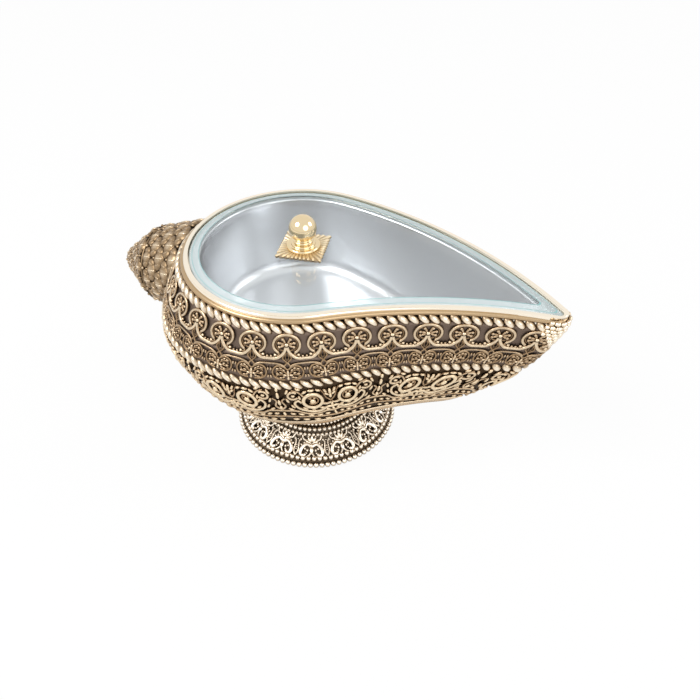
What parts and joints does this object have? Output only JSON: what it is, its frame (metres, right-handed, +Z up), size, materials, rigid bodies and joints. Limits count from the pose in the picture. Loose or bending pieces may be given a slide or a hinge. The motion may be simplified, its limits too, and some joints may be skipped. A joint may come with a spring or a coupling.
{
  "type": "dry fruit box",
  "caption": "Pointed conch-shaped serving bowl on a round beaded foot, with a steel liner and a lift-off bevelled glass lid with a ball knob.",
  "frame": {"origin": "centre of the felt pad under the foot, on the table", "axes": "+X toward the bowl's point, +Z up out of the mouth, +Y to the bowed side"},
  "size_m": [0.2871, 0.1572, 0.1529],
  "materials": {
    "cast_metal": "antique champagne plating over cast metal, dark in the recesses",
    "rim_metal": "bright pale champagne polish",
    "foot_metal": "antique pale plating, dark in the recesses",
    "liner_steel": "polished stainless steel",
    "lid_glass": "clear bevelled plate glass with a pale green edge",
    "gold": "mirror gold plating",
    "steel": "plain zinc-plated steel",
    "clear_plastic": "soft clear plastic",
    "felt": "dark felt"
  },
  "bodies": {
    "box": {"body_shell": "cast_metal", "rim_band": "rim_metal", "upper_rope": "cast_metal", "rosette_strip": "cast_metal", "lace_strip": "cast_metal", "lower_rope": "cast_metal", "scroll_strip": "cast_metal", "belly_ring": "cast_metal", "tip_cap": "cast_metal", "spire_collar": "cast_metal", "spire_cone": "cast_metal", "neck_collar": "cast_metal", "neck_ring": "foot_metal", "foot_shell": "foot_metal", "foot_bead_lower": "foot_metal", "foot_bead_inner": "foot_metal", "foot_bead_upper": "foot_metal", "foot_floral": "foot_metal", "foot_pad": "felt", "foot_bolt": "steel", "foot_washer": "steel", "foot_nut": "steel", "liner_bowl": "liner_steel"},
    "lid": {"glass_lid": "lid_glass", "knob": "gold", "knob_plate": "gold", "knob_screw": "steel", "glass_washer": "clear_plastic"}
  },
  "joints": [
    {"name": "lid_lift", "type": "slide", "parent": "box", "child": "lid", "axis": [0, 0, 1], "range_m": [0, 0.08]}
  ]
}
